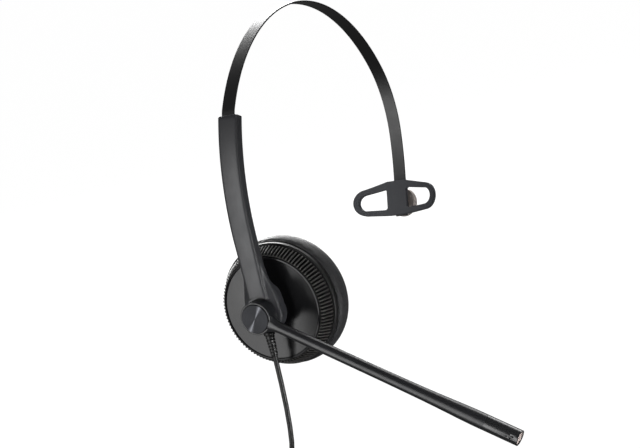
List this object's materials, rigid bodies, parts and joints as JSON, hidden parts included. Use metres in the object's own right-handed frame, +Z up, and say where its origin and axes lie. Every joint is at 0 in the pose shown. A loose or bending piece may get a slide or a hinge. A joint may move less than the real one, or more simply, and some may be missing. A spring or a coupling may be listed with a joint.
{
  "type": "office headset",
  "caption": "Single-ear office headset with a ribbed round ear cup, sprung head band on a curved arm, rubber T-bar and turning microphone boom.",
  "frame": {"origin": "middle of the wearer's head, on the ear cup's axis", "axes": "+X from the ear cup to the T-bar, -Y the way the wearer faces, +Z up"},
  "size_m": [0.1808, 0.1544, 0.3018],
  "materials": {
    "arm_plastic": "fine satin moulded charcoal",
    "cup_plastic": "satin black",
    "inner_plastic": "plain black moulding",
    "band_steel": "black coated spring steel",
    "bright_steel": "plain",
    "magnet_metal": "nickel plated",
    "cap_metal": "spun dark anodised",
    "soft_rubber": "matt charcoal",
    "cord_jacket": "satin black",
    "leatherette": "soft grained black leatherette",
    "cloth": "black acoustic cloth",
    "knob_plastic": "brownish grey moulding",
    "mesh_cloth": "pale pinkish grey acoustic mesh",
    "copper": "wound wire",
    "board": "circuit board"
  },
  "bodies": {
    "arm": {"arm_shell": "arm_plastic", "arm_inner_cover": "arm_plastic", "mouth_collar": "inner_plastic", "detent_spring": "bright_steel", "swivel_neck": "inner_plastic", "swivel_pin": "bright_steel", "hub_clip": "bright_steel", "hub_washer": "soft_rubber", "strain_relief": "cord_jacket", "cord_lead": "cord_jacket", "cord_coil": "cord_jacket", "cord_tail": "cord_jacket", "cord_tie": "cloth", "plug_boot": "cord_jacket", "plug_body": "inner_plastic", "plug_contacts": "copper"},
    "headband": {"headband_strip": "band_steel", "slider_block": "inner_plastic", "slider_rivets": "bright_steel", "band_end_knob": "knob_plastic", "knob_rivets": "bright_steel"},
    "tbar_stud": {"tbar_ball": "bright_steel"},
    "tbar": {"tbar_pad": "soft_rubber", "tbar_plate": "soft_rubber", "tbar_socket": "inner_plastic"},
    "swivel": {"swivel_block": "inner_plastic"},
    "ear_cup": {"cup_shell": "cup_plastic", "ribbed_ring": "cup_plastic", "rim_ring": "cup_plastic", "baffle": "inner_plastic", "baffle_screws": "bright_steel", "swivel_bracket": "inner_plastic", "bracket_screws": "bright_steel", "driver_magnet": "magnet_metal", "driver_frame": "inner_plastic", "voice_coil": "copper", "diaphragm": "inner_plastic", "terminal_board": "board", "cushion_plate": "inner_plastic", "cushion_cloth": "cloth", "ear_cushion": "leatherette"},
    "boom": {"boom_hub": "arm_plastic", "hub_cap": "cap_metal", "boom_tube": "arm_plastic", "mic_housing": "cup_plastic", "mic_end_disc": "mesh_cloth", "mic_gasket": "soft_rubber", "mic_capsule": "magnet_metal", "mic_lead": "cord_jacket"}
  },
  "joints": [
    {"name": "band_extend", "type": "hinge", "parent": "arm", "child": "headband", "pos_m": [0.0445, 0, 0.038], "axis": [0, 1, 0], "range_deg": [0, 13]},
    {"name": "cup_yaw", "type": "hinge", "parent": "arm", "child": "swivel", "pos_m": [-0.0685, 0, 0], "axis": [0, 0, 1], "range_deg": [-8, 8]},
    {"name": "cup_tilt", "type": "hinge", "parent": "swivel", "child": "ear_cup", "pos_m": [-0.0685, 0, 0], "axis": [0, 1, 0], "range_deg": [-8, 8]},
    {"name": "boom_rotate", "type": "hinge", "parent": "arm", "child": "boom", "pos_m": [-0.0888, 0, 0], "axis": [1, 0, 0], "range_deg": [-105, 225]},
    {"name": "tbar_tilt", "type": "hinge", "parent": "headband", "child": "tbar_stud", "pos_m": [0.0779, 0, 0.01165], "axis": [0, 1, 0], "range_deg": [-8, 8]},
    {"name": "tbar_twist", "type": "hinge", "parent": "tbar_stud", "child": "tbar", "pos_m": [0.0779, 0, 0.01165], "axis": [0.9373, 0, -0.3486], "range_deg": [-20, 20]}
  ]
}
